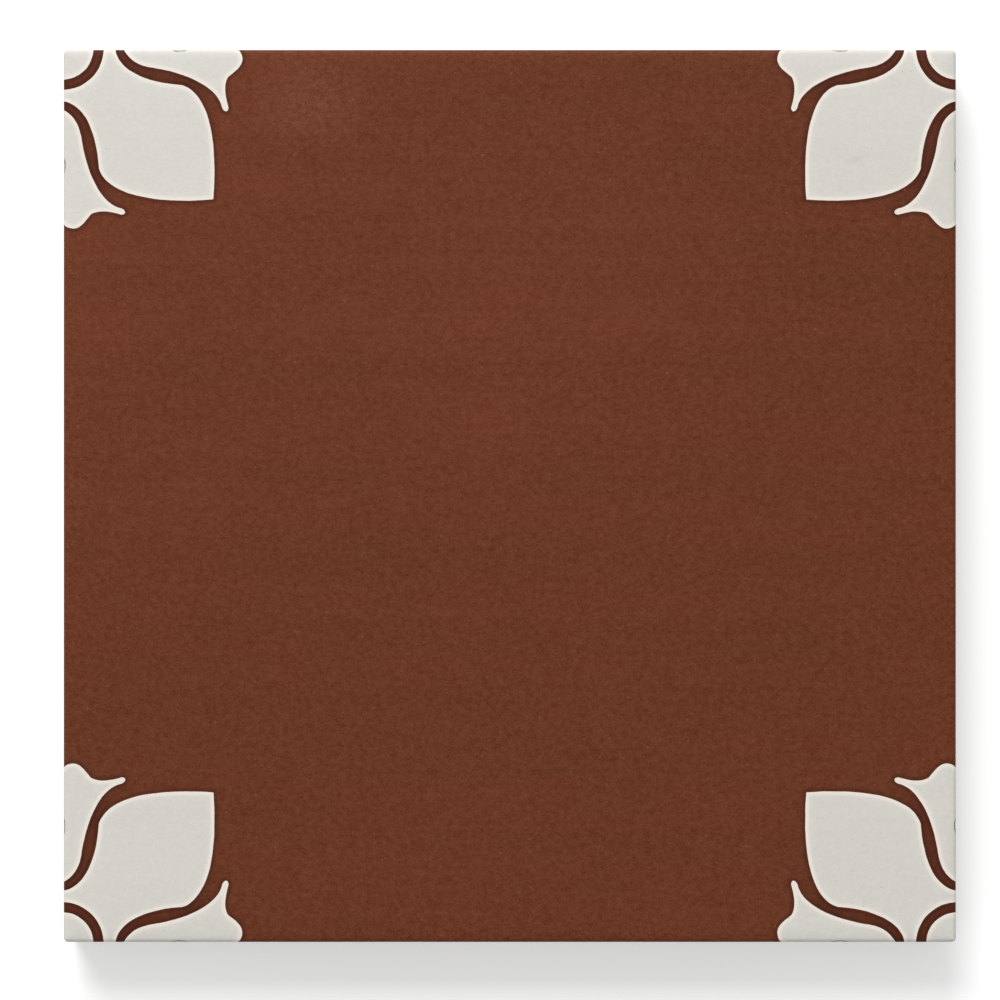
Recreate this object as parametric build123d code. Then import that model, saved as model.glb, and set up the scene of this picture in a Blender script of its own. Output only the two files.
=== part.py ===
from build123d import *
from build123d.topology import SkipClean
import os
from math import cos, radians, tan

# Pressed cement floor tile with a quarter rosette inlaid at each corner. Millimetres.
# Origin: centre of the back, on the floor. +Z: out of the patterned face.

# The slab
SIDE = 200.0              # patterned face, edge to edge
THICKNESS = 16.0
SIDE_DRAFT = 1.0          # degrees, so that the slab leaves the mould frame
CORNER_RADIUS = 1.0       # upright corners, in plan
ARRIS_RADIUS = 0.8        # eased edge round the face
BACK_CHAMFER = 0.5        # edge round the back

# A small nick in the eased edge, beside each end of each side
NICK_FROM_CORNER = 26.0
NICK_LENGTH = 4.0
NICK_BITE = 0.5           # into the slab, in plan
NICK_DROP = 0.6           # below the face

# The key pressed into the back: a sunk panel, with drafted pockets between ribs
RIM_WIDTH = 15.0          # flat border that the tile rests on
PANEL_SINK = 0.6          # panel, above the rim's plane
PANEL_CORNER = 9.0
KEY_DRAFT = 35.0          # degrees, on the walls of the panel and the pockets
POCKETS_A_SIDE = 4
POCKET_RIB = 6.0          # rib between two pockets, at its crest
POCKET_BORDER = 5.0       # from the panel's wall to the first pocket
POCKET_DEPTH = 1.2        # above the panel
POCKET_CORNER = 5.0

# The inlay, drawn at one corner of the face: (along one edge, along the other)
EYE_RADIUS = 6.7          # white eye of the rosette
RING_RADIUS = 9.0         # brown ring round the eye

PETAL_FOOT = (0, 11.6)    # petal's flank, where it meets the tile edge
PETAL_WAIST = (8.0, 26.6)
PETAL_TIP = (33.6, 33.6)
PETAL_FLANK_PULLS = ((5.5, 12.6), (7.6, 20.1))
PETAL_SHOULDER_PULLS = ((10.2, 33.7), (24.0, 34.4))

BUD_FOOT = (0, 13.5)
BUD_NECK = (4.1, 20.0)
BUD_WING_TOP = (13.0, 35.6)
BUD_WING_HEEL = (13.0, 37.0)
BUD_LOBE_ROOT = (6.2, 36.9)
BUD_LOBE_END = (0.5, 39.6)
BUD_CLEFT = (0, 39.1)     # dip between the bud's two lobes
BUD_FOOT_PULLS = ((2.7, 15.1), (3.6, 17.0))
BUD_FLANK_PULLS = ((4.9, 25.6), (7.6, 34.4))
BUD_TIP_PULLS = ((14.1, 36.0), (14.2, 37.0))
BUD_WING_PULLS = ((11.0, 36.4), (7.9, 35.8))
BUD_LOBE_PULLS = ((4.7, 38.7), (3.3, 41.2))

OVERRUN = 2.0             # outlines run this far past the tile's edge
DIAGONAL = Plane((0, 0, 0), z_dir=(1, -1, 0))


def flip(point):
    """The point across the corner's diagonal."""
    return (point[1], point[0])


def bend(start, pulls, end):
    """A cubic curve from start to end, drawn towards its two pull points."""
    return Bezier(start, pulls[0], pulls[1], end)


def outside(point):
    """The point straight out from the tile's edge, past the slab."""
    return (-OVERRUN, point[1])


def slab():
    """The pressed blank: drafted sides, eased face, chamfered back."""
    block = extrude(RectangleRounded(SIDE, SIDE, CORNER_RADIUS), THICKNESS)
    sides = block.faces().sort_by(Axis.Z)[1:-1]
    blank = draft(sides, Plane.XY.offset(THICKNESS - ARRIS_RADIUS), -SIDE_DRAFT)
    blank = fillet(blank.faces().sort_by(Axis.Z)[-1].edges(), ARRIS_RADIUS)
    return chamfer(blank.faces().sort_by(Axis.Z)[0].edges(), BACK_CHAMFER)


def key():
    """What the press leaves out of the back: the sunk panel and its pockets."""
    panel_side = SIDE - 2 * RIM_WIDTH
    panel = extrude(RectangleRounded(panel_side, panel_side, PANEL_CORNER), PANEL_SINK, taper=KEY_DRAFT)

    pitch = (panel_side - 2 * POCKET_BORDER + POCKET_RIB) / POCKETS_A_SIDE
    mouth_side = pitch - POCKET_RIB
    mouth = Plane.XY.offset(PANEL_SINK) * RectangleRounded(mouth_side, mouth_side, POCKET_CORNER)
    pocket = extrude(mouth, POCKET_DEPTH, taper=KEY_DRAFT)
    places = GridLocations(pitch, pitch, POCKETS_A_SIDE, POCKETS_A_SIDE)
    return panel + [place * pocket for place in places]


def nicks():
    """Shallow scoops out of the eased edge, two on each side."""
    radius = ((NICK_LENGTH / 2) ** 2 + NICK_BITE ** 2) / (2 * NICK_BITE)
    scoop = extrude(Circle(radius), NICK_DROP + ARRIS_RADIUS)
    along = SIDE / 2 - NICK_FROM_CORNER
    out = SIDE / 2 + radius - NICK_BITE
    pair = [Pos(out, way * along, THICKNESS - NICK_DROP) * scoop for way in (-1, 1)]
    return Part() + [Rot(0, 0, 90 * turn) * one for turn in range(4) for one in pair]


def petal():
    """The large petal that points into the tile along the diagonal."""
    outline = bend(PETAL_FOOT, PETAL_FLANK_PULLS, PETAL_WAIST)
    outline += bend(PETAL_WAIST, PETAL_SHOULDER_PULLS, PETAL_TIP)
    outline += mirror(outline, DIAGONAL)
    corner = (-OVERRUN, -OVERRUN)
    outline += Polyline(PETAL_FOOT, outside(PETAL_FOOT), corner, flip(outside(PETAL_FOOT)), flip(PETAL_FOOT))
    return make_face(outline) - Circle(RING_RADIUS)


def bud():
    """The half bud that stands on the tile's edge, between two petals."""
    outline = bend(BUD_FOOT, BUD_FOOT_PULLS, BUD_NECK)
    outline += bend(BUD_NECK, BUD_FLANK_PULLS, BUD_WING_TOP)
    outline += bend(BUD_WING_TOP, BUD_TIP_PULLS, BUD_WING_HEEL)
    outline += bend(BUD_WING_HEEL, BUD_WING_PULLS, BUD_LOBE_ROOT)
    outline += bend(BUD_LOBE_ROOT, BUD_LOBE_PULLS, BUD_LOBE_END)
    outline += Polyline(BUD_LOBE_END, BUD_CLEFT, outside(BUD_CLEFT), outside(BUD_FOOT), BUD_FOOT)
    return make_face(outline)


def inlay():
    """The white cement at all four corners, cut down to the foot of the eased edge."""
    half_bud = bud()
    quarter = Circle(EYE_RADIUS) + petal() + half_bud + mirror(half_bud, DIAGONAL)
    corner = Pos(-SIDE / 2, -SIDE / 2, THICKNESS)
    rosettes = Sketch() + [Rot(0, 0, 90 * turn) * corner * quarter for turn in range(4)]
    arris_drop = ARRIS_RADIUS * cos(radians(SIDE_DRAFT)) / tan(radians(45 - SIDE_DRAFT / 2))
    return extrude(rosettes, arris_drop, dir=(0, 0, -1))


def patterned(blank):
    """The blank in one piece, its face divided along the edges of the inlay."""
    tool = inlay()
    white = (blank & tool).solids()
    brown = (blank - tool).solids()
    with SkipClean():
        return brown[0].fuse(*white)


tile = patterned(slab() - key() - nicks())
os.makedirs("parts", exist_ok=True)
export_step(tile, "parts/tile.step")
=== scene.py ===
"""A pressed cement floor tile: brown face, off-white corner rosettes, grey mortar behind."""

from math import pi, radians, sin, tan

import bpy
import numpy as np
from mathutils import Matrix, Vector, noise
from mathutils.geometry import delaunay_2d_cdt
from mathutils.kdtree import KDTree


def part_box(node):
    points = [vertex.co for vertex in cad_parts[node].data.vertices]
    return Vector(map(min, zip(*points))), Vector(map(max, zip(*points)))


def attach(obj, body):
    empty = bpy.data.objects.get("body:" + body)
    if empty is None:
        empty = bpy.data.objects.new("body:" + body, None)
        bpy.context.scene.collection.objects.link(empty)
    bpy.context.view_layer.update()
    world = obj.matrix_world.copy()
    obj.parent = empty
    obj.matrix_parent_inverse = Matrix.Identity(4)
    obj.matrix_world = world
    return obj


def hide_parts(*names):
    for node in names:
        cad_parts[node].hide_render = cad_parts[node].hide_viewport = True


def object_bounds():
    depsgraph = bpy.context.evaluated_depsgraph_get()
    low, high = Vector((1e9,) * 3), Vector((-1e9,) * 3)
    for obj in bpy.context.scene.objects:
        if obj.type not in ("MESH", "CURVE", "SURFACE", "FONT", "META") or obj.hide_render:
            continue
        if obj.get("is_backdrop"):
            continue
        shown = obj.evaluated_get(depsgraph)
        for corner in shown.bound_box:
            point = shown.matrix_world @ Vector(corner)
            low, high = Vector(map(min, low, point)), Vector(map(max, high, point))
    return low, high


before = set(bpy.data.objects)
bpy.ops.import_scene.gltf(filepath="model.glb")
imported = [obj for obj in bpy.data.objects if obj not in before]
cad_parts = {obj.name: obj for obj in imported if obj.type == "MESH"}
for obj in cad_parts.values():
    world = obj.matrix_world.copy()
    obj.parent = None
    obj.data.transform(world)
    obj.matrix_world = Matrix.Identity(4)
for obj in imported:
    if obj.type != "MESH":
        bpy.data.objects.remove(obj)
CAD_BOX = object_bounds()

bl_info = {
    "name": "Cement floor tile",
    "version": (1, 0, 0),
    "blender": (4, 5, 0),
    "location": "3D View > Sidebar > Tile",
    "description": "Presses, inlays and lights a cement floor tile with corner rosettes",
    "category": "Object",
}

MM = 0.001
LOW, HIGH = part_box("tile")
SIDE = HIGH.x - LOW.x
THICKNESS = HIGH.z - LOW.z

# The white inlay at one corner of the face, in millimetres: (along one edge, along the other)
PETAL_FOOT = (0, 11.6)
PETAL_WAIST = (8.0, 26.6)
PETAL_TIP = (33.6, 33.6)
PETAL_FLANK_PULLS = ((5.5, 12.6), (7.6, 20.1))
PETAL_SHOULDER_PULLS = ((10.2, 33.7), (24.0, 34.4))
BUD_FOOT = (0, 13.5)
BUD_NECK = (4.1, 20.0)
BUD_WING_TOP = (13.0, 35.6)
BUD_WING_HEEL = (13.0, 37.0)
BUD_LOBE_ROOT = (6.2, 36.9)
BUD_LOBE_END = (0.5, 39.6)
BUD_CLEFT = (0, 39.1)
BUD_FOOT_PULLS = ((2.7, 15.1), (3.6, 17.0))
BUD_FLANK_PULLS = ((4.9, 25.6), (7.6, 34.4))
BUD_TIP_PULLS = ((14.1, 36.0), (14.2, 37.0))
BUD_WING_PULLS = ((11.0, 36.4), (7.9, 35.8))
BUD_LOBE_PULLS = ((4.7, 38.7), (3.3, 41.2))
OVERRUN = 2.0                 # outlines run this far past the tile's edge

# Patches on this tile's face, from its middle: x, y, width and height in millimetres, and turn in radians
PALE_HAZE = (-45.0, 88.0, 30.0, 24.0, 0.0)
GREY_SPECK = (77.3, 75.3, 5.0, 2.4, 0.25)

# Which cement a facet is made of: the order of the piece's material slots
BROWN, WHITE, MORTAR = range(3)


def srgb(red, green, blue):
    """A colour given as it looks on a screen, from 0 to 255, as scene values."""
    shares = [channel / 255 for channel in (red, green, blue)]
    return tuple(s / 12.92 if s <= 0.04045 else ((s + 0.055) / 1.055) ** 2.4 for s in shares)


def length(name, description, default_mm):
    """A length that the user may change, kept in metres and given here in millimetres."""
    return bpy.props.FloatProperty(
        name=name, description=description, default=default_mm * MM, min=0.0,
        unit="LENGTH", subtype="DISTANCE", precision=4)


def angle(name, description, default_degrees):
    """An angle that the user may change, kept in radians and given here in degrees."""
    return bpy.props.FloatProperty(
        name=name, description=description, default=radians(default_degrees),
        unit="ROTATION", subtype="ANGLE")


def colour(name, description, red, green, blue):
    """A colour that the user may change."""
    return bpy.props.FloatVectorProperty(
        name=name, description=description, default=srgb(red, green, blue),
        min=0.0, max=1.0, size=3, subtype="COLOR")


class SlabSizes(bpy.types.PropertyGroup):
    """The pressed slab and its edges."""
    side: length("Side", "Patterned face, edge to edge", SIDE / MM)
    thickness: length("Thickness", "From the back's rim to the face", THICKNESS / MM)
    corner: length("Corner radius", "Upright corners, in plan", 1.0)
    arris: length("Arris radius", "Eased edge round the face", 0.8)
    back_chamfer: length("Back chamfer", "Edge round the back", 0.5)
    draft: angle("Draft", "Lean of the sides, for leaving the mould frame", 1.0)
    pillow: length("Edge fall", "How far the face falls away beside its edges", 0.42)
    pillow_reach: length("Edge fall reach", "How far in that fall fades", 1.2)
    nick_place: length("Nick place", "From a corner to the middle of the nearest nick", 26.0)
    nick_length: length("Nick length", "Along the edge", 4.0)
    nick_bite: length("Nick bite", "Into the slab, in plan", 0.5)
    nick_drop: length("Nick drop", "Below the face, at the nick's lip", 0.6)


class KeySizes(bpy.types.PropertyGroup):
    """The key that the press leaves in the back."""
    rim: length("Rim", "Flat border that the tile rests on", 15.0)
    panel_sink: length("Panel sink", "Panel, above the rim's plane", 0.6)
    panel_corner: length("Panel corner", "Corner radius of the panel", 9.0)
    rib: length("Rib", "Between two pockets, at its crest", 6.0)
    border: length("Border", "From the panel's wall to the first pocket", 5.0)
    pocket_depth: length("Pocket depth", "Above the panel", 1.2)
    pocket_corner: length("Pocket corner", "Corner radius of a pocket", 5.0)
    pockets: bpy.props.IntProperty(name="Pockets", description="Pockets a side", default=4, min=1)
    wall_draft: angle("Wall draft", "Lean of the key's walls", 35.0)


class InlaySizes(bpy.types.PropertyGroup):
    """The inlaid pattern and the depth of the coloured face."""
    eye: length("Eye", "Radius of the rosette's white eye", 6.7)
    ring: length("Ring", "Outer radius of the brown ring round the eye", 9.0)
    waver: length("Waver", "How far the poured cement strays from the mould's line", 0.07)
    face_mix: length("Face mix", "Depth of the coloured cement above the mortar", 3.6)
    join_waver: length("Join waver", "How far the join with the mortar strays up and down", 0.9)


class CementColours(bpy.types.PropertyGroup):
    """The three mixes of cement, and what lies on and in them."""
    brown: colour("Brown", "Field, ring and channels", 104, 52, 28.5)
    brown_rim: colour("Brown rim", "Richer pigment in the channels and beside the white", 66, 25, 11)
    white: colour("Off-white", "Eye, petals and buds", 213, 210, 203)
    white_rim: colour("White rim", "Cleaner cement beside the brown", 255, 243, 229)
    bloom: colour("Bloom", "Pale lime dust on the face", 210, 147, 122)
    # Painted shade: the dark painted into the face's pinholes
    pinhole_painted_shade: colour("Pinhole", "Dark of the face's pinholes", 58, 44, 36)
    mortar: colour("Mortar", "Body and back", 150, 146, 138)
    sand: colour("Sand", "Dark grains in the mortar", 104, 98, 88)
    lime: colour("Lime", "Pale grains in the mortar", 196, 192, 182)
    pebble: colour("Pebble", "Larger warm grains in the mortar", 176, 160, 138)
    # Painted shade: the dark painted into the mortar's small hollows
    hollow_with_painted_shade: colour("Hollow", "Dark of the mortar's small hollows", 58, 54, 50)


class StudioSizes(bpy.types.PropertyGroup):
    """The camera and the light."""
    lens: bpy.props.FloatProperty(name="Lens", description="Camera lens", default=135.0, unit="CAMERA")
    view_width: length("View width", "Width of the picture at the tile's face", 223.9)
    shift_x: length("View left", "How far left of the tile's middle the picture's middle lies", 2.2)
    shift_y: length("View down", "How far below the tile's middle the picture's middle lies", 0.9)
    key_power: bpy.props.FloatProperty(
        name="Key lamp", description="Power of the large lamp", default=95.0, unit="POWER")
    ambient: bpy.props.FloatProperty(name="Ambient", description="Light from all round", default=0.5)
    floor_lift: bpy.props.FloatProperty(
        name="Floor lift", description="Whiteness added to the floor for the camera alone", default=0.36)


class TileSettings(bpy.types.PropertyGroup):
    """All that the panel shows."""
    slab: bpy.props.PointerProperty(type=SlabSizes)
    key: bpy.props.PointerProperty(type=KeySizes)
    inlay: bpy.props.PointerProperty(type=InlaySizes)
    colours: bpy.props.PointerProperty(type=CementColours)
    studio: bpy.props.PointerProperty(type=StudioSizes)


def settings():
    """The user's settings for this scene."""
    return bpy.context.scene.cement_tile


# Unevenness. From here to the finished mesh all lengths are millimetres.
# A layer of smooth noise is given as (height, pitch, seed), and hollows as (depth, pitch, seed, level).

def ripple(points, pitch, seed):
    """Smooth noise from -1 to 1 at each point, with humps about pitch apart."""
    places = np.zeros((len(points), 3))
    places[:, :points.shape[1]] = points / pitch
    places[:, 2] += seed
    return np.array([noise.noise(Vector(place)) for place in places])


def uneven(points, layers):
    """Layers of smooth noise added together, at each point."""
    return sum(height * ripple(points, pitch, seed) for height, pitch, seed in layers)


def most(layers):
    """The most that layers of smooth noise can rise or sink."""
    return sum(height for height, _, _ in layers)


def hollows(points, depth, pitch, seed, level):
    """Separate hollows where smooth noise rises above a level: their depth at each point."""
    return depth * np.maximum(ripple(points, pitch, seed) - level, 0)


def stray(points, waves):
    """How far each point strays in plan, by the layers along x and the layers along y."""
    return np.stack([uneven(points, layers) for layers in waves], 1)


# Outlines in plan

LINE_STEP = 0.45              # between two points of the pattern's lines
EDGE_STEP = 0.8               # between two points of the slab's rim
CORNER_STEPS = 5
OUTLINE_WAVES = (((1.0, 3.1, 5.0), (0.4, 0.9, 15.0)),
                 ((1.0, 3.1, 9.0), (0.4, 0.9, 19.0)))


def cubic(start, pulls, end):
    """Points along a cubic curve, its end left out."""
    p = np.array([start, *pulls, end], float)
    reach = np.linalg.norm(np.diff(p, axis=0), axis=1).sum()
    t = np.linspace(0, 1, max(3, round(reach / LINE_STEP)), endpoint=False)[:, None]
    return (1 - t) ** 3 * p[0] + 3 * (1 - t) ** 2 * t * p[1] + 3 * (1 - t) * t ** 2 * p[2] + t ** 3 * p[3]


def straight(start, end):
    """Points along a straight line, its end left out."""
    p, q = np.array(start, float), np.array(end, float)
    t = np.linspace(0, 1, max(1, round(np.linalg.norm(q - p) / LINE_STEP)), endpoint=False)[:, None]
    return p + (q - p) * t


def directions(count):
    """Evenly spaced directions all round."""
    turn = np.linspace(0, 2 * pi, count, endpoint=False)
    return np.stack([np.cos(turn), np.sin(turn)], 1)


def circle(radius):
    """Points round the tile's corner."""
    return radius * directions(round(2 * pi * radius / LINE_STEP))


def outside(point):
    """The point straight out from the tile's edge, past the slab."""
    return (-OVERRUN, point[1])


def petal_line():
    """The petal's outline, from its foot round its tip to its other foot and the corner."""
    half = np.vstack([
        cubic(PETAL_FOOT, PETAL_FLANK_PULLS, PETAL_WAIST),
        cubic(PETAL_WAIST, PETAL_SHOULDER_PULLS, PETAL_TIP)])
    other_half = half[::-1, ::-1]
    foot, other_foot = outside(PETAL_FOOT), outside(PETAL_FOOT)[::-1]
    corner = (-OVERRUN, -OVERRUN)
    return np.vstack([
        half, [PETAL_TIP], other_half[:-1], straight(PETAL_FOOT[::-1], other_foot),
        straight(other_foot, corner), straight(corner, foot), straight(foot, PETAL_FOOT)])


def bud_line():
    """The half bud's outline, with its closing side outside the slab."""
    return np.vstack([
        cubic(BUD_FOOT, BUD_FOOT_PULLS, BUD_NECK),
        cubic(BUD_NECK, BUD_FLANK_PULLS, BUD_WING_TOP),
        cubic(BUD_WING_TOP, BUD_TIP_PULLS, BUD_WING_HEEL),
        cubic(BUD_WING_HEEL, BUD_WING_PULLS, BUD_LOBE_ROOT),
        cubic(BUD_LOBE_ROOT, BUD_LOBE_PULLS, BUD_LOBE_END),
        straight(BUD_LOBE_END, BUD_CLEFT),
        straight(BUD_CLEFT, outside(BUD_CLEFT)),
        straight(outside(BUD_CLEFT), outside(BUD_FOOT)),
        straight(outside(BUD_FOOT), BUD_FOOT)])


def turned(points, quarters):
    """Points turned about the tile's middle."""
    for _ in range(quarters):
        points = np.stack([-points[:, 1], points[:, 0]], 1)
    return points


def rosette_lines(sizes, half):
    """Every outline of the inlay: (kind, closed points), at all four corners of the face."""
    eye, ring = circle(sizes.inlay.eye / MM), circle(sizes.inlay.ring / MM)
    bud = bud_line()
    other_bud = bud[::-1, ::-1]
    shapes = [("eye", eye), ("ring", ring), ("petal", petal_line()), ("bud", bud), ("bud", other_bud)]
    waver = sizes.inlay.waver / MM
    lines = []
    for quarters in range(4):
        for kind, shape in shapes:
            points = turned(shape - half, quarters)
            lines.append((kind, points + waver * stray(points, OUTLINE_WAVES)))
    return lines


def within(points, line):
    """Which points lie inside a closed outline."""
    inside = np.zeros(len(points), bool)
    x, y = points[:, 0], points[:, 1]
    for (ax, ay), (bx, by) in zip(line, np.roll(line, -1, axis=0)):
        if ay == by:
            continue
        crosses = (ay > y) != (by > y)
        inside ^= crosses & (x < ax + (y - ay) * (bx - ax) / (by - ay))
    return inside


def near(points, line, margin=0.0):
    """Which points lie in the box round an outline, or within a margin of it."""
    low, high = line.min(0) - margin, line.max(0) + margin
    return ((points > low) & (points < high)).all(1)


def nearest(points, line):
    """How far each point lies from the nearest point of a line."""
    tree = KDTree(len(line))
    for n, (x, y) in enumerate(line):
        tree.insert((x, y, 0), n)
    tree.balance()
    return np.array([tree.find((x, y, 0))[2] for x, y in points])


def edge_distance(points, half, radius):
    """How far inside a square with round corners each point lies."""
    q = np.abs(points) - (half - radius)
    beyond = np.hypot(*np.maximum(q, 0).T)
    return radius - beyond - np.minimum(q.max(1), 0)


def rim_points(half, radius, step=EDGE_STEP, corner_steps=CORNER_STEPS):
    """Points round a square with round corners, anticlockwise, and their outward directions."""
    flat = half - radius
    along = np.linspace(-flat, flat, max(2, round(2 * flat / step)), endpoint=False)
    turn = np.linspace(0, pi / 2, corner_steps, endpoint=False)
    aim = np.stack([np.cos(turn), np.sin(turn)], 1)
    points = np.vstack([np.stack([np.full_like(along, half), along], 1), flat + radius * aim])
    aims = np.vstack([np.tile([1.0, 0.0], (len(along), 1)), aim])
    return (np.vstack([turned(points, n) for n in range(4)]),
            np.vstack([turned(aims, n) for n in range(4)]))


def offset_line(line, distance):
    """The outline moved sideways."""
    along = np.roll(line, -1, axis=0) - np.roll(line, 1, axis=0)
    along /= np.maximum(np.linalg.norm(along, axis=1), 1e-9)[:, None]
    return line + distance * np.stack([-along[:, 1], along[:, 0]], 1)


# Joining points into triangles

WHOLE_HULL = 0                # the triangulation that fills the outline of all points
MERGE_WITHIN = 1e-5           # closer points become one corner
GRID_SCATTER = 0.25           # how far a grid's points stray, as a share of its pitch


class Weave:
    """Gathers points and lines in plan, and joins them into triangles."""

    def __init__(self):
        self.points = []
        self.lines = []

    def add_points(self, points):
        """Adds single points."""
        self.points.extend(Vector(p) for p in points)

    def add_loop(self, points):
        """Adds a closed line that no triangle crosses."""
        start, count = len(self.points), len(points)
        self.add_points(points)
        self.lines.extend((start + n, start + (n + 1) % count) for n in range(count))

    def triangles(self):
        """Corner points, triangles, and for each point given the corner that it became."""
        corners, _, faces, origins, _, _ = delaunay_2d_cdt(
            self.points, self.lines, [], WHOLE_HULL, MERGE_WITHIN, True)
        became = {}
        for corner, given in enumerate(origins):
            for point in given:
                became[point] = corner
        return np.array([c[:] for c in corners]), np.array([f[:] for f in faces]), became


def grid_points(half, pitch, seed, keep_off, clearance):
    """A loosely scattered grid, clear of the points that it is kept off."""
    places = np.linspace(-half, half, round(2 * half / pitch))
    x, y = np.meshgrid(places, places)
    scatter = np.random.default_rng(seed).uniform(-GRID_SCATTER * pitch, GRID_SCATTER * pitch, (x.size, 2))
    points = np.stack([x.ravel(), y.ravel()], 1) + scatter
    return points[nearest(points, keep_off) > clearance]


# The face

FACE_GRID = 1.3               # between two points of the grid inside
FACE_SEED = 3
FACE_CLEARANCE = 0.55         # from the grid's points to any line
ARRIS_STEPS = 5
EDGE_ROWS = (0.5, 1.2)        # rows of points inside the arris
GRID_INSET = 1.8              # from the arris to the grid
TONE_BANDS = (0.18, 0.55, 1.1)  # rows of points on both sides of each of the pattern's lines
BAND_INSET = 0.3              # from the arris to the ends of those rows
BESIDE_FADE = (0.4, 1.2)      # where the rim beside one of the pattern's lines begins and ends to fade
BETWEEN_FADE = (1.6, 3.0)     # the same for a place between two lines, by its distance to the farther one
FACE_RELIEF = ((0.012, 17.0, 31.0), (0.006, 4.0, 37.0))
EDGE_WEAR = (0.05, 3.3, 43.0, 0.0)
WEAR_REACH = 0.7

NICK_STRAY = 0.14             # how ragged the lips of the nicks are
NICK_WAVES = ((1.0, 0.9, 171.0), (0.5, 0.4, 173.0))
NICK_FALL = 1.3               # how much deeper a nick is at the slab's edge than at its lip
NICK_FLOOR = ((0.06, 0.5, 177.0),)
NICK_LIP = 0.02               # from the lip's line to where the floor begins
NICK_LOOPS = (0.0, 0.06, 0.18, 0.32)  # rows of points inside the lip
NICK_CORNERS = 180


def nick_centres(slab, half):
    """Centres of the nicks' round scoops, and their radius."""
    bite, long = slab.nick_bite / MM, slab.nick_length / MM
    radius = ((long / 2) ** 2 + bite ** 2) / (2 * bite)
    along, out = half - slab.nick_place / MM, half + radius - bite
    pair = np.array([[out, -along], [out, along]])
    return np.vstack([turned(pair, n) for n in range(4)]), radius


def nick_reach(centre, radius, aims):
    """How far a nick's ragged lip lies from its scoop's centre, in each direction."""
    return radius + NICK_STRAY * uneven(centre + radius * aims, NICK_WAVES)


def nick_depth(points, centre, radius):
    """How far inside a nick's lip each point lies, in plan."""
    away = points - centre
    distance = np.hypot(*away.T)
    return nick_reach(centre, radius, away / distance[:, None]) - distance


def cut_nicks(height, points, slab, half):
    """The face's height with the nicks' sloping floors cut into it."""
    steepness = NICK_FALL / (slab.nick_bite / MM)
    centres, radius = nick_centres(slab, half)
    for centre in centres:
        close = np.flatnonzero(np.hypot(*(points - centre).T) < radius + NICK_STRAY)
        depth = nick_depth(points[close], centre, radius)
        floor = ((slab.thickness - slab.nick_drop) / MM - steepness * depth
                 + uneven(points[close], NICK_FLOOR))
        height[close] = np.where(depth > NICK_LIP, np.minimum(height[close], floor), height[close])
    return height


def face_height(points, slab, half):
    """The face with its edge fall, its arris and its nicks, above the floor."""
    arris = slab.arris / MM
    depth_in = np.maximum(edge_distance(points, half, slab.corner / MM), 0)
    short = arris - np.minimum(depth_in, arris)
    drop = arris - np.sqrt(np.maximum(arris ** 2 - short ** 2, 0))
    fall = slab.pillow / MM * np.exp(-depth_in / (slab.pillow_reach / MM))
    relief = uneven(points, FACE_RELIEF) - most(FACE_RELIEF)
    wear = hollows(points, *EDGE_WEAR) * np.exp(-depth_in / WEAR_REACH)
    return cut_nicks(slab.thickness / MM - drop - fall + relief - wear, points, slab, half)


def weave_face(slab, lines, half):
    """The face in plan, in triangles that keep to the arris, the pattern's lines and the nicks."""
    arris, corner = slab.arris / MM, slab.corner / MM
    weave = Weave()
    rim, aims = rim_points(half, corner)
    weave.add_loop(rim)
    kept_off = [rim]
    for n in range(ARRIS_STEPS):
        inset = arris * (1 - sin(n * pi / 2 / ARRIS_STEPS))
        weave.add_loop(rim - inset * aims)
    for inset in EDGE_ROWS:
        row = rim - (arris + inset) * aims
        weave.add_points(row)
        kept_off.append(row)
    for _, line in lines:
        weave.add_loop(line)
        for band in TONE_BANDS:
            for way in (-band, band):
                beside = offset_line(line, way)
                beside = beside[edge_distance(beside, half, corner) > arris + BAND_INSET]
                weave.add_points(beside)
                kept_off.append(beside)
        kept_off.append(line)
    centres, radius = nick_centres(slab, half)
    round_aims = directions(NICK_CORNERS)
    for centre in centres:
        reach = nick_reach(centre, radius, round_aims)
        for shrink in NICK_LOOPS:
            weave.add_loop(centre + (reach - shrink)[:, None] * round_aims)
    inner = half - arris - GRID_INSET
    weave.add_points(grid_points(inner, FACE_GRID, FACE_SEED, np.vstack(kept_off), FACE_CLEARANCE))
    corners, faces, _ = weave.triangles()
    faces = faces[edge_distance(corners[faces].mean(1), half, corner) > 0]
    used = np.unique(faces)
    number = np.full(len(corners), -1)
    number[used] = np.arange(len(used))
    return corners[used], number[faces]


def face_cements(middles, slab, lines, half):
    """Which cement each triangle of the face is made of, by its middle."""
    inside = {kind: np.zeros(len(middles), bool) for kind in ("eye", "ring", "petal", "bud")}
    for kind, line in lines:
        close = near(middles, line)
        inside[kind][close] |= within(middles[close], line)
    white = inside["eye"] | (inside["petal"] & ~inside["ring"]) | inside["bud"]
    cements = np.where(white, WHITE, BROWN)
    centres, radius = nick_centres(slab, half)
    # The nicks' floors are given the grey mortar's finish, so that they show grey
    for centre in centres:
        cements[nick_depth(middles, centre, radius) > 0] = MORTAR
    return cements


def fading(away, fade):
    """1 up to where a fade begins, 0 from its end on."""
    start, end = fade
    return np.clip((end - away) / (end - start), 0, 1)


def rims_beside(points, lines):
    """How far each point belongs to the rim beside a line of the pattern, and to a channel between two."""
    farthest = BETWEEN_FADE[1]
    first, second = np.full((2, len(points)), farthest)
    for _, line in lines:
        close = np.flatnonzero(near(points, line, farthest))
        if len(close):
            away = nearest(points[close], line)
            second[close] = np.minimum(second[close], np.maximum(first[close], away))
            first[close] = np.minimum(first[close], away)
    return fading(first, BESIDE_FADE), fading(second, BETWEEN_FADE)


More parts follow.
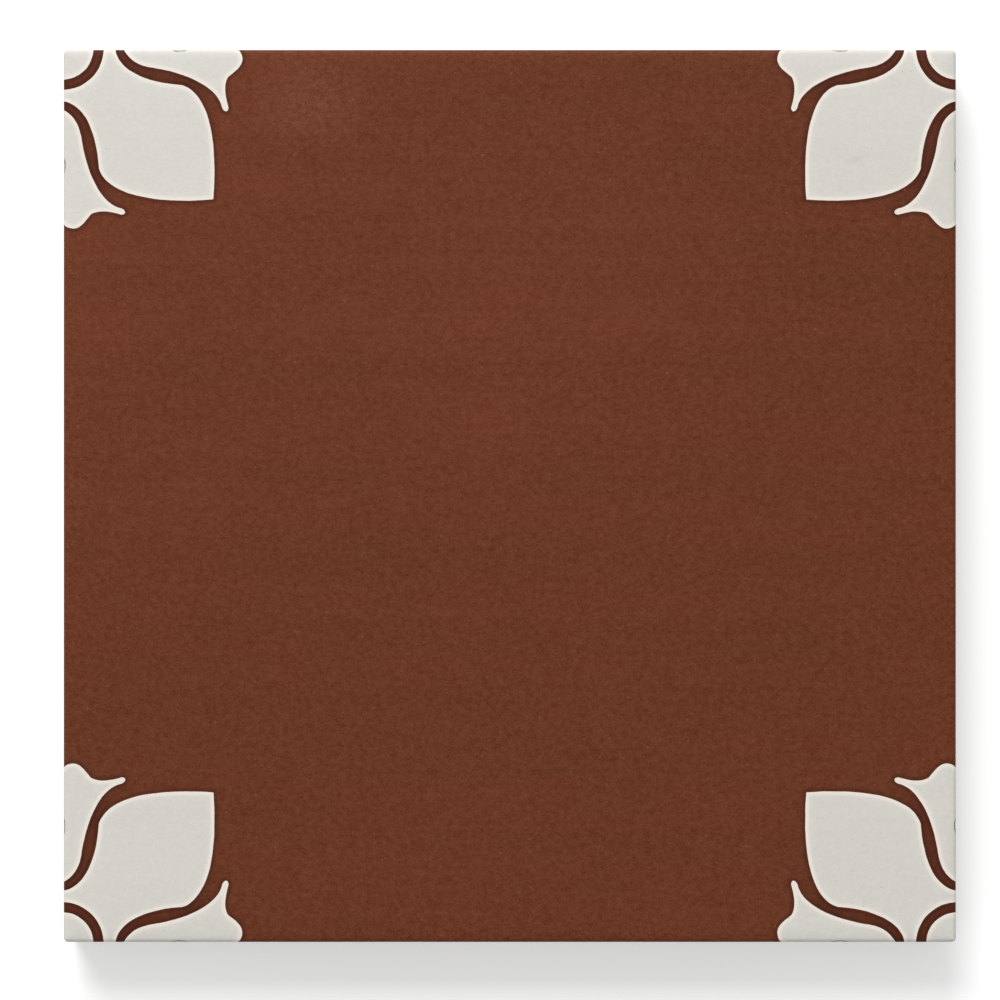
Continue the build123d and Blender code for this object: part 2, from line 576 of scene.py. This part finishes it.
def rim_order(faces, corners, half):
    """The face's outer corners in order, and the triangle inside each step between them."""
    owner = {}
    for n, (a, b, c) in enumerate(faces):
        for edge in ((a, b), (b, c), (c, a)):
            owner[edge] = n
    outer = {a: (b, n) for (a, b), n in owner.items() if (b, a) not in owner}
    start = min(outer, key=lambda a: (corners[a][0] - half) ** 2 + corners[a][1] ** 2)
    ring = [start]
    while outer[ring[-1]][0] != start:
        ring.append(outer[ring[-1]][0])
    return np.array(ring), np.array([outer[a][1] for a in ring])


# The sides

COLOURED_RINGS = 3
MORTAR_RINGS = 13
FOOT_SHARE = 0.35             # height of the ring within the back's chamfer, as a share of it
JOIN_WAVES = ((1.0, 8.0, 131.0), (0.5, 2.6, 137.0), (0.25, 1.1, 139.0))
COLOURED_ROUGH = ((0.03, 4.0, 51.0),)
MORTAR_ROUGH = ((0.06, 5.0, 53.0), (0.05, 1.7, 57.0))
MORTAR_SUNK = 0.07            # how far the mortar shrinks back on average
MORTAR_BEGINS = 0.2           # how far below the join the sides are as rough as the mortar
SIDE_PITS = (0.6, 2.6, 61.0, 0.45)


def rim_aims(points, half, radius):
    """Outward directions at points on the rim of a square with round corners."""
    q = np.abs(points) - (half - radius)
    aims = np.where(q > 0, q, 0) * np.sign(points)
    return aims / np.linalg.norm(aims, axis=1)[:, None]


def join_levels(rim, sizes):
    """How high the coloured cement ends on the sides, all round."""
    waver = sizes.inlay.join_waver / MM
    return (sizes.slab.thickness - sizes.inlay.face_mix) / MM + waver * uneven(rim, JOIN_WAVES)


def side_rings(rim, tops, joins, slab, half):
    """Rings of corners down the sides to the back's edge, each with how far it lies below the join."""
    chamfer = slab.back_chamfer / MM
    draft_begins = (slab.thickness - slab.arris) / MM
    levels = [tops + (joins - tops) * (n + 1) / COLOURED_RINGS for n in range(COLOURED_RINGS)]
    levels += [joins + (chamfer - joins) * (n + 1) / MORTAR_RINGS for n in range(MORTAR_RINGS)]
    levels += [np.full(len(rim), chamfer * FOOT_SHARE), np.zeros(len(rim))]
    aims = rim_aims(rim, half, slab.corner / MM)
    rings = []
    for level in levels:
        ring = np.column_stack([rim, level])
        below = joins - level
        coloured = most(COLOURED_ROUGH) + uneven(ring, COLOURED_ROUGH)
        mortar = MORTAR_SUNK + uneven(ring, MORTAR_ROUGH) + hollows(ring, *SIDE_PITS)
        rough = np.maximum(np.where(below > MORTAR_BEGINS, mortar, coloured), 0) * (level > 0)
        drafted = np.maximum(draft_begins - level, 0) * tan(slab.draft)
        chamfered = np.maximum(chamfer - level, 0) ** 2 / chamfer
        ring[:, :2] -= (drafted + chamfered + rough)[:, None] * aims
        rings.append((ring, below))
    return rings


# The back

BACK_GRID = 1.7               # between two points of the grid inside
BACK_SEED = 7
BACK_CLEARANCE = 0.7          # from the grid's points to any line
BACK_INSET = 1.2              # from the back's edge to the grid
BACK_ROUGH = ((0.07, 6.0, 71.0), (0.05, 2.2, 77.0))
RIM_ROUGH = 0.3               # how rough the rim is, as a share of what lies inside it
BACK_PITS = (0.5, 3.0, 83.0, 0.5)

KEY_STRAY = 0.22              # how far the key's walls stray in plan
KEY_WAVES = (((1.0, 5.5, 101.0), (0.5, 1.9, 103.0)),
             ((1.0, 5.5, 111.0), (0.5, 1.9, 113.0)))
WALL_STEP = 1.8               # between two points of a wall's line
WALL_CORNER_STEPS = 6
WALL_LOOPS = (0.0, 0.3, 0.7, 1.0)  # rows of points up a wall, as shares of it

AIR_HOLES = 90
HOLE_SEED = 19
HOLE_INSET = 3.0              # from the slab's edge to a hole's middle, at least
HOLE_RADIUS = 0.35            # of the smallest
HOLE_SPREAD = 0.95            # how much larger the largest is
HOLE_BIAS = 2.5               # the higher it is, the more of them are small
HOLE_DEPTH = 0.9              # as a share of the radius
HOLE_OVAL = 0.16              # how far a hole is squeezed to an oval, as a share of its radius
HOLE_KNOB = 0.08              # the same for a squeeze to three corners
HOLE_LOOPS = (1.0, 0.86, 0.5)  # rows of points inside a hole, as shares of its radius
HOLE_CORNERS = 14


def pocket_places(key, half):
    """Centres of the pockets, and half the side of a pocket's mouth."""
    count = key.pockets
    field = 2 * (half - (key.rim + key.border) / MM)
    pitch = (field + key.rib / MM) / count
    places = (np.arange(count) - (count - 1) / 2) * pitch
    return [(x, y) for x in places for y in places], (pitch - key.rib / MM) / 2


def air_holes(half):
    """The holes that trapped air left in the back: the middle, radius and phase of each."""
    random = np.random.default_rng(HOLE_SEED)
    reach = half - HOLE_INSET
    middles = random.uniform(-reach, reach, (AIR_HOLES, 2))
    radii = HOLE_RADIUS + HOLE_SPREAD * random.random(AIR_HOLES) ** HOLE_BIAS
    return list(zip(middles, radii, random.uniform(0, 2 * pi, AIR_HOLES)))


def hole_reach(radius, phase, turn):
    """How far an air hole's lip lies from its middle, in each direction."""
    return radius * (1 + HOLE_OVAL * np.sin(2 * turn + phase) + HOLE_KNOB * np.sin(3 * turn + 2 * phase))


def eased_step(share):
    """A wall's rise from 0 to 1, softened at its foot and its top."""
    share = np.clip(share, 0, 1)
    return 0.5 * share + 0.5 * share * share * (3 - 2 * share)


def back_height(points, key, half):
    """The back's surface above the floor."""
    lean = tan(key.wall_draft)
    sink, depth = key.panel_sink / MM, key.pocket_depth / MM
    strayed = points + KEY_STRAY * stray(points, KEY_WAVES)
    in_panel = edge_distance(strayed, half - key.rim / MM, key.panel_corner / MM)
    height = sink * eased_step(in_panel / (sink * lean))
    centres, mouth = pocket_places(key, half)
    for centre in centres:
        in_pocket = edge_distance(strayed - centre, mouth, key.pocket_corner / MM)
        height += depth * eased_step(in_pocket / (depth * lean))
    rough = uneven(points, BACK_ROUGH) + most(BACK_ROUGH)
    height += np.clip(in_panel + 1, RIM_ROUGH, 1) * rough + hollows(points, *BACK_PITS)
    for middle, radius, phase in air_holes(half):
        away = points - middle
        share = np.hypot(*away.T) / hole_reach(radius, phase, np.arctan2(away[:, 1], away[:, 0]))
        height += HOLE_DEPTH * radius * np.sqrt(np.maximum(1 - share ** 2, 0))
    return height


def weave_back(key, rim, half):
    """The back in plan, in triangles that keep to the key's walls, and the corners that its rim became."""
    weave = Weave()
    weave.add_loop(rim)
    kept_off = [rim]
    mouths = [((0, 0), half - key.rim / MM, key.panel_corner, key.panel_sink)]
    centres, mouth = pocket_places(key, half)
    mouths += [(centre, mouth, key.pocket_corner, key.pocket_depth) for centre in centres]
    for centre, mouth_half, corner, depth in mouths:
        line, aims = rim_points(mouth_half, corner / MM, WALL_STEP, WALL_CORNER_STEPS)
        for share in WALL_LOOPS:
            loop = line - share * (depth / MM) * tan(key.wall_draft) * aims + centre
            loop -= KEY_STRAY * stray(loop, KEY_WAVES)
            weave.add_loop(loop)
            kept_off.append(loop)
    turn = np.linspace(0, 2 * pi, HOLE_CORNERS, endpoint=False)
    for middle, radius, phase in air_holes(half):
        lip = hole_reach(radius, phase, turn)[:, None] * directions(HOLE_CORNERS)
        for share in HOLE_LOOPS:
            loop = middle + share * lip
            weave.add_loop(loop)
            kept_off.append(loop)
        weave.add_points([middle])
    inner = np.abs(rim).max() - BACK_INSET
    weave.add_points(grid_points(inner, BACK_GRID, BACK_SEED, np.vstack(kept_off), BACK_CLEARANCE))
    corners, faces, became = weave.triangles()
    faces = faces[within(corners[faces].mean(1), rim)]
    return corners, faces, [became[n] for n in range(len(rim))]


# The whole piece

STAIN_REACH = 2.5             # how far brown slurry has run down from the join on average
STAIN_LEAST = 0.3             # the least that it has run
STAIN_RUNS = ((1.6, 6.0, 151.0),)
STAIN_PATCHES = ((0.5, 2.2, 157.0),)
PAINTED_LIGHT_SLOPE = 0.0075          # painted light falloff: how fast the mixes are painted paler towards the far left, where the lamp hangs, for each millimetre
DRIFT_CLOUDS = ((1.3, 38.0, 40.0), (0.6, 10.0, 97.0))
DRIFT_BANDS = ((1.2, 9.0, 37.0),)
BAND_STRETCH = (0.07, 1.0, 1.0)  # scales the points, so that the bands run long across the tile
SHARP_FROM = radians(38)      # an edge that turns more than this looks sharp


def side_stain(below, rim, brown):
    """How brown the slurry has left the mortar under the join, from 0 to 1."""
    reach = STAIN_REACH * (1 + uneven(rim, STAIN_RUNS))
    fade = np.clip(1 - below / np.maximum(reach, STAIN_LEAST), 0, 1)
    return fade * (below >= 0) * brown * (most(STAIN_PATCHES) + uneven(rim, STAIN_PATCHES))


def tone_with_painted_light(points):
    """Broad unevenness in the mixes: painted light, paler towards the far left where the lamp hangs, with
    clouds and bands of real tone drawn across.
    """
    # Painted light: paler towards the far left, where the lamp hangs
    slope = PAINTED_LIGHT_SLOPE * (points[:, 1] - points[:, 0])
    return slope + uneven(points, DRIFT_CLOUDS) + uneven(points * BAND_STRETCH, DRIFT_BANDS)


class Shell:
    """The piece as it grows: corners with the values that finishes read, and facets in their cements."""

    def __init__(self):
        self.count = 0
        self.corners = []
        self.values = {"beside": [], "between": [], "stain": []}
        self.facets = []
        self.cements = []

    def add_corners(self, corners, **values):
        """Adds corners, with 0 for each value that isn't given. Gives their numbers."""
        self.corners.append(corners)
        for name, kept in self.values.items():
            kept.append(values.get(name, np.zeros(len(corners))))
        numbers = self.count + np.arange(len(corners))
        self.count += len(corners)
        return numbers

    def add_facets(self, facets, cements):
        """Adds facets, each given by the numbers of its corners."""
        self.facets.extend(tuple(int(n) for n in facet) for facet in facets)
        self.cements.extend(cements)

    def join_rings(self, above, beneath, cements):
        """Joins two rings of corners all round."""
        self.add_facets(zip(above, beneath, np.roll(beneath, -1), np.roll(above, -1)), cements)

    def mesh(self, name):
        """The finished mesh, in metres."""
        corners = np.vstack(self.corners)
        mesh = bpy.data.meshes.new(name)
        mesh.from_pydata((corners * MM).tolist(), [], self.facets)
        mesh.polygons.foreach_set("material_index", np.array(self.cements, np.int32))
        values = {kind: np.concatenate(kept) for kind, kept in self.values.items()}
        # Painted light with real tone: every mix painted paler towards the lamp's side, with clouds and
        # bands
        values["cloud_and_painted_light"] = tone_with_painted_light(corners)
        for kind, value in values.items():
            mesh.attributes.new(kind, "FLOAT", "POINT").data.foreach_set("value", value.astype(np.float32))
        mesh.shade_smooth()
        mesh.set_sharp_from_angle(angle=SHARP_FROM)
        mesh.validate()
        return mesh


def tile_mesh(sizes):
    """The tile as one closed mesh: its face, its sides down from the face's rim, and its back."""
    slab, key = sizes.slab, sizes.key
    half = slab.side / MM / 2
    shell = Shell()

    lines = rosette_lines(sizes, half)
    flat, faces = weave_face(slab, lines, half)
    heights = face_height(flat, slab, half)
    cements = face_cements(flat[faces].mean(1), slab, lines, half)
    beside, between = rims_beside(flat, lines)
    shell.add_corners(np.column_stack([flat, heights]), beside=beside, between=between)
    shell.add_facets(faces, cements)

    ring, inner = rim_order(faces, flat, half)
    rim = flat[ring]
    joins = join_levels(rim, sizes)
    coloured = np.where(cements[inner] == MORTAR, WHITE, cements[inner])
    mortar = np.full(len(ring), MORTAR)
    above = ring
    for n, (corners, below) in enumerate(side_rings(rim, heights[ring], joins, slab, half)):
        stain = side_stain(below, rim, coloured == BROWN)
        beneath = shell.add_corners(corners, beside=beside[ring], between=between[ring], stain=stain)
        shell.join_rings(above, beneath, coloured if n < COLOURED_RINGS else mortar)
        above, foot = beneath, corners[:, :2]

    back, back_faces, order = weave_back(key, foot, half)
    inside = np.setdiff1d(np.unique(back_faces), order)
    back_inside = np.column_stack([back[inside], back_height(back[inside], key, half)])
    number = np.full(len(back), -1)
    number[order] = above
    number[inside] = shell.add_corners(back_inside)
    shell.add_facets(number[back_faces][:, [0, 2, 1]], np.full(len(back_faces), MORTAR))
    return shell.mesh("tile_cement")


# Finishes

MIX_INPUTS = (0, 6, 7)        # the share and the two colours: the node names several inputs alike
MIX_RESULT = 2

# How far apart the grains lie along each axis, in millimetres
GRIT = (1.2, 1.15, 1.2)
FINES = (0.34, 0.34, 0.34)
DRAWN = (140.0, 1.6, 3.0)
RUBBED = (14.0, 10.0, 10.0)
SAND = (0.5, 0.5, 0.5)
BLOTCHES = (5.0, 5.0, 5.0)

# Relief of the finishes, in millimetres
GRIT_RELIEF = 0.02
PINHOLE_DEPTH = 0.04
SAND_RELIEF = 0.12
HOLLOW_DEPTH = 0.3

FACE_ROUGHNESS = 0.62
RUBBED_ROUGHNESS = (0.6, 0.66)  # where the face is rubbed most, and least
MORTAR_ROUGHNESS = 0.9
MORTAR_TONE_AND_PAINTED_LIGHT = 0.06
DRY_SPECULAR = 0.15


def node(tree, kind, inputs=None, **choices):
    """One node with its choices made, its inputs given as values or as other nodes' outputs."""
    made = tree.nodes.new(kind)
    for name, value in choices.items():
        setattr(made, name, value)
    for socket, value in (inputs or {}).items():
        if isinstance(value, bpy.types.NodeSocket):
            tree.links.new(value, made.inputs[socket])
        else:
            made.inputs[socket].default_value = value
    return made


def maths(tree, operation, first, second):
    """A sum of two numbers or fields."""
    return node(tree, "ShaderNodeMath", {0: first, 1: second}, operation=operation).outputs[0]


def scaled(tree, field, share):
    """A field times a share, which may be a field too."""
    return maths(tree, "MULTIPLY", field, share)


def mixed(tree, share, first, second):
    """Two colours mixed by a share of the second."""
    made = node(tree, "ShaderNodeMix", dict(zip(MIX_INPUTS, (share, first, second))), data_type="RGBA")
    return made.outputs[MIX_RESULT]


def span(tree, field, low, high, to_low=0.0, to_high=1.0):
    """A field's span brought to another span, and held there."""
    return node(tree, "ShaderNodeMapRange", {
        "Value": field, "From Min": low, "From Max": high, "To Min": to_low, "To Max": to_high}).outputs[0]


def place(tree, x, y, z):
    """Places on the tile in millimetres, divided by a pitch along each axis."""
    where = node(tree, "ShaderNodeTexCoord").outputs["Object"]
    scale = tuple(1 / (MM * pitch) for pitch in (x, y, z))
    return node(tree, "ShaderNodeMapping", {"Vector": where, "Scale": scale}).outputs[0]


def grain(tree, pitch, detail, harshness=0.6):
    """Noise from 0 to 1, one pitch across along each axis, and finer in each step of detail."""
    noisy = node(tree, "ShaderNodeTexNoise", {
        "Vector": place(tree, *pitch), "Scale": 1.0, "Detail": detail, "Roughness": harshness})
    return noisy.outputs["Fac"]


def flecks(tree, pitch, size, grain_share, hole_share):
    """Round grains and round holes a pitch apart, each at a share of the places: 1 inside, 0 outside."""
    made = node(tree, "ShaderNodeTexVoronoi", {"Vector": place(tree, pitch, pitch, pitch), "Scale": 1.0})
    spot = span(tree, made.outputs["Distance"], size * 0.6, size, 1.0, 0.0)
    picked = node(tree, "ShaderNodeSeparateColor", {"Color": made.outputs["Color"]}).outputs["Red"]
    return (scaled(tree, spot, maths(tree, "LESS_THAN", picked, grain_share)),
            scaled(tree, spot, maths(tree, "GREATER_THAN", picked, 1 - hole_share)))


def patch(tree, x, y, wide, high, turn):
    """A soft oval patch on the face: 1 at its middle, 0 from its edge on."""
    where = node(tree, "ShaderNodeTexCoord").outputs["Object"]
    oval = node(tree, "ShaderNodeMapping", {
        "Vector": where, "Location": (x * MM, y * MM, 0.0), "Rotation": (0.0, 0.0, turn),
        "Scale": (wide * MM / 2, high * MM / 2, 1.0)}, vector_type="TEXTURE")
    return node(tree, "ShaderNodeTexGradient", {"Vector": oval.outputs[0]},
                gradient_type="SPHERICAL").outputs["Fac"]


def painted(tree, name):
    """A value kept at the mesh's corners."""
    return node(tree, "ShaderNodeAttribute", attribute_name=name, attribute_type="GEOMETRY").outputs["Fac"]


def opaque(values):
    """A colour with full cover."""
    return (*values, 1.0)


def shifted(tree, base, shade):
    """A colour made lighter or darker by a share either side of 0."""
    value = maths(tree, "ADD", shade, 1.0)
    return node(tree, "ShaderNodeHueSaturation", {"Value": value, "Color": base}).outputs[0]


def dusted(tree, base, grit, dust):
    """A colour under dust that lies unevenly with the grit, given as the colour that a full cover adds."""
    cover = maths(tree, "SUBTRACT", grit, 0.5)
    added = node(tree, "ShaderNodeVectorMath", {0: cover, 1: dust, 2: base}, operation="MULTIPLY_ADD")
    return added.outputs[0]


def new_finish(name, plain, roughness):
    """A material with its plain colour and roughness, and its empty node tree."""
    material = bpy.data.materials.new(name)
    material.diffuse_color = opaque(plain)
    material.roughness = roughness
    material.use_nodes = True
    material.node_tree.nodes.clear()
    return material, material.node_tree


def matte(tree, base, height, roughness):
    """Finishes a material as dry cement: its colour, its relief in millimetres and its roughness."""
    bump = node(tree, "ShaderNodeBump", {"Height": height, "Distance": MM, "Strength": 1.0}).outputs[0]
    shader = node(tree, "ShaderNodeBsdfPrincipled", {
        "Base Color": base, "Roughness": roughness, "Normal": bump, "Specular IOR Level": DRY_SPECULAR})
    node(tree, "ShaderNodeOutputMaterial", {"Surface": shader.outputs[0]})


def mortar_cement(colours):
    """The grey mortar behind the face: sand, lime, pebbles, small hollows painted dark as shade, slurry
    under the join, and painted light that makes it paler towards the lamp's side.
    """
    material, tree = new_finish("grey_mortar", colours.mortar, MORTAR_ROUGHNESS)
    sand = grain(tree, SAND, 3.0)
    blotches = span(tree, grain(tree, BLOTCHES, 3.0), 0.35, 0.65, 0.0, 0.3)
    dark_grains = span(tree, sand, 0.54, 0.64, 0.0, 0.8)
    pale_grains = span(tree, sand, 0.44, 0.36, 0.0, 0.6)
    pebbles, hollow_with_painted_shade = flecks(tree, pitch=2.3, size=0.2, grain_share=0.3, hole_share=0.3)
    slurry = scaled(tree, painted(tree, "stain"), span(tree, sand, 0.35, 0.6, 0.9, 0.35))
    base = mixed(tree, blotches, opaque(colours.mortar), opaque(colours.lime))
    base = mixed(tree, dark_grains, base, opaque(colours.sand))
    base = mixed(tree, pale_grains, base, opaque(colours.lime))
    base = mixed(tree, scaled(tree, pebbles, 0.5), base, opaque(colours.pebble))
    base = mixed(tree, slurry, base, opaque(colours.brown))
    # Painted light with real tone: the mortar painted paler towards the lamp's side, and clouded
    base = shifted(tree, base, scaled(tree, painted(tree, "cloud_and_painted_light"), MORTAR_TONE_AND_PAINTED_LIGHT))
    # Painted shade: the hollows are painted dark as well as dented in the relief
    base = mixed(tree, scaled(tree, hollow_with_painted_shade, 0.7), base, opaque(colours.hollow_with_painted_shade))
    height = maths(tree, "SUBTRACT", scaled(tree, sand, SAND_RELIEF), scaled(tree, hollow_with_painted_shade, HOLLOW_DEPTH))
    matte(tree, base, height, MORTAR_ROUGHNESS)
    return material


def face_cement(name, pigment, rim, dust, pinhole_painted_shade, *, beside_share, between_share,
                dustiness, tone_and_painted_light_share, grain_share, pinhole_shade_share, patches):
    """A coloured face cement: clouded, drawn and dusty, painted paler towards the lamp's side, with purer
    rims along the pattern's lines.
    """
    material, tree = new_finish(name, pigment, FACE_ROUGHNESS)
    fines = span(tree, grain(tree, FINES, 2.0), 0.0, 1.0, -0.65, 0.65)
    grit = maths(tree, "ADD", grain(tree, GRIT, 3.0), fines)
    drawn = span(tree, grain(tree, DRAWN, 2.0), 0.25, 0.75, -tone_and_painted_light_share, tone_and_painted_light_share)
    # Painted light with real tone: the face painted paler towards the lamp's side, clouded and drawn
    shade = maths(tree, "ADD", scaled(tree, painted(tree, "cloud_and_painted_light"), tone_and_painted_light_share), drawn)
    base = shifted(tree, opaque(pigment), shade)
    base = dusted(tree, base, grit, [dustiness * (over - own) for over, own in zip(dust, pigment)])
    rim_share = maths(tree, "ADD", scaled(tree, painted(tree, "beside"), beside_share),
                      scaled(tree, painted(tree, "between"), between_share))
    base = mixed(tree, rim_share, base, opaque(rim))
    for spot, share, tint in patches:
        cover = span(tree, grit, 0.3, 0.7, 0.5 * share, 1.5 * share)
        base = mixed(tree, scaled(tree, patch(tree, *spot), cover), base, opaque(tint))
    grains, holes = flecks(tree, pitch=2.2, size=0.13, grain_share=0.2, hole_share=0.2)
    base = mixed(tree, scaled(tree, grains, grain_share), base, opaque(dust))
    # Painted shade: the pinholes are painted dark as well as dented in the relief
    base = mixed(tree, scaled(tree, holes, pinhole_shade_share), base, opaque(pinhole_painted_shade))
    height = maths(tree, "SUBTRACT", scaled(tree, grit, GRIT_RELIEF), scaled(tree, holes, PINHOLE_DEPTH))
    matte(tree, base, height, span(tree, grain(tree, RUBBED, 5.0), 0.35, 0.65, *RUBBED_ROUGHNESS))
    return material


def brown_cement(colours):
    """The field, the rings and the channels."""
    return face_cement(
        "brown_cement", colours.brown, colours.brown_rim, colours.bloom, colours.pinhole_painted_shade,
        beside_share=0.6, between_share=0.42, dustiness=0.177, tone_and_painted_light_share=0.044,
        grain_share=0.1, pinhole_shade_share=0.25, patches=[(PALE_HAZE, 0.055, colours.bloom)])


def white_cement(colours):
    """The eyes, petals and buds."""
    return face_cement(
        "white_cement", colours.white, colours.white_rim, colours.white_rim, colours.pinhole_painted_shade,
        beside_share=0.52, between_share=0.0, dustiness=0.36, tone_and_painted_light_share=0.01,
        grain_share=0.0, pinhole_shade_share=0.05, patches=[(GREY_SPECK, 0.12, colours.sand)])


class TILE_OT_press(bpy.types.Operator):
    """Press the tile: slab, inlay, key and cements, in place of its plain solid"""
    bl_idname = "cement_tile.press"
    bl_label = "Press tile"

    def execute(self, context):
        sizes = settings()
        piece = bpy.data.objects.new("tile_cement", tile_mesh(sizes))
        context.scene.collection.objects.link(piece)
        for cement in (brown_cement, white_cement, mortar_cement):
            piece.data.materials.append(cement(sizes.colours))
        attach(piece, "root")
        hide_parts("tile")
        return {"FINISHED"}


# The studio, in metres

FLOOR_RADIUS = 4.0
FLOOR_SIDES = 64
PAPER = (0.8, 0.8, 0.8)
PAPER_ROUGHNESS = 0.9
WHITE_LIGHT = (1.0, 1.0, 1.0)
LAMP_SIZE = 2.0
LAMP_PLACE = (-0.7, 2.5, 2.2)


def paper_floor(lift):
    """Plain white paper that keeps the tile's shadow and looks white to the camera."""
    material, tree = new_finish("white_floor", PAPER, PAPER_ROUGHNESS)
    ray = node(tree, "ShaderNodeLightPath")
    seen = maths(tree, "MAXIMUM", ray.outputs["Is Camera Ray"], ray.outputs["Is Glossy Ray"])
    paper = node(tree, "ShaderNodeBsdfDiffuse", {"Color": opaque(PAPER)})
    glow = node(tree, "ShaderNodeEmission", {"Strength": scaled(tree, seen, lift)})
    both = node(tree, "ShaderNodeAddShader", {0: paper.outputs[0], 1: glow.outputs[0]})
    node(tree, "ShaderNodeOutputMaterial", {"Surface": both.outputs[0]})
    return material


class TILE_OT_stage(bpy.types.Operator):
    """Set the floor, the lamp, the white surroundings and the camera"""
    bl_idname = "cement_tile.stage"
    bl_label = "Set stage"

    def execute(self, context):
        scene, studio = context.scene, settings().studio
        self.lay_floor(scene, studio)
        self.hang_lamp(scene, studio)
        self.surround(scene, studio)
        self.set_camera(scene, studio, settings().slab)
        scene.view_settings.view_transform = "Standard"
        return {"FINISHED"}

    def lay_floor(self, scene, studio):
        """A round floor, far wider than the view."""
        ring = [(FLOOR_RADIUS * x, FLOOR_RADIUS * y, 0.0) for x, y in directions(FLOOR_SIDES)]
        mesh = bpy.data.meshes.new("floor")
        mesh.from_pydata(ring, [], [tuple(range(FLOOR_SIDES))])
        mesh.materials.append(paper_floor(studio.floor_lift))
        floor = bpy.data.objects.new("floor", mesh)
        scene.collection.objects.link(floor)
        floor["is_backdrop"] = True

    def hang_lamp(self, scene, studio):
        """One large round lamp behind the tile's far edge, aimed at its middle."""
        lamp = bpy.data.lights.new("key_lamp", "AREA")
        lamp.shape = "DISK"
        lamp.size = LAMP_SIZE
        lamp.energy = studio.key_power
        hung = bpy.data.objects.new("key_lamp", lamp)
        hung.location = LAMP_PLACE
        hung.rotation_euler = Vector(LAMP_PLACE).to_track_quat("Z", "Y").to_euler()
        scene.collection.objects.link(hung)

    def surround(self, scene, studio):
        """Soft light from all round, which the camera sees as white."""
        world = bpy.data.worlds.new("white_surroundings")
        world.use_nodes = True
        tree = world.node_tree
        tree.nodes.clear()
        seen = node(tree, "ShaderNodeLightPath").outputs["Is Camera Ray"]
        strength = span(tree, seen, 0.0, 1.0, studio.ambient, 1.0)
        sky = node(tree, "ShaderNodeBackground", {"Color": opaque(WHITE_LIGHT), "Strength": strength})
        node(tree, "ShaderNodeOutputWorld", {"Surface": sky.outputs[0]})
        scene.world = world

    def set_camera(self, scene, studio, slab):
        """The camera straight above the face, at the distance where the view is as wide as asked."""
        camera = bpy.data.cameras.new("camera")
        camera.lens = studio.lens
        distance = studio.view_width * studio.lens / camera.sensor_width
        eye = bpy.data.objects.new("camera", camera)
        eye.location = (-studio.shift_x, -studio.shift_y, slab.thickness + distance)
        scene.collection.objects.link(eye)
        scene.camera = eye


class TILE_PT_panel(bpy.types.Panel):
    """The tile's sizes, colours and steps."""
    bl_idname = "TILE_PT_panel"
    bl_label = "Cement tile"
    bl_space_type = "VIEW_3D"
    bl_region_type = "UI"
    bl_category = "Tile"

    def draw(self, context):
        """Lists every size and colour in its group, and the two steps."""
        layout, sizes = self.layout, settings()
        for title, group in (("Slab", sizes.slab), ("Key", sizes.key), ("Inlay", sizes.inlay),
                             ("Cements", sizes.colours), ("Studio", sizes.studio)):
            box = layout.box()
            box.label(text=title)
            for name in group.__annotations__:
                box.prop(group, name)
        for operator in (TILE_OT_press, TILE_OT_stage):
            layout.operator(operator.bl_idname)


CLASSES = (SlabSizes, KeySizes, InlaySizes, CementColours, StudioSizes, TileSettings,
           TILE_OT_press, TILE_OT_stage, TILE_PT_panel)


def register():
    """Adds the tile's classes, and its settings to the scene."""
    for kind in CLASSES:
        bpy.utils.register_class(kind)
    bpy.types.Scene.cement_tile = bpy.props.PointerProperty(type=TileSettings)


def unregister():
    """Takes them out again."""
    del bpy.types.Scene.cement_tile
    for kind in reversed(CLASSES):
        bpy.utils.unregister_class(kind)


def main():
    """Makes the whole scene."""
    register()
    bpy.ops.cement_tile.press()
    bpy.ops.cement_tile.stage()
    boxes = {"cad": CAD_BOX, "visual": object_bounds()}
    boxes = {name: [list(corner) for corner in box] for name, box in boxes.items()}


if __name__ == "__main__":
    main()
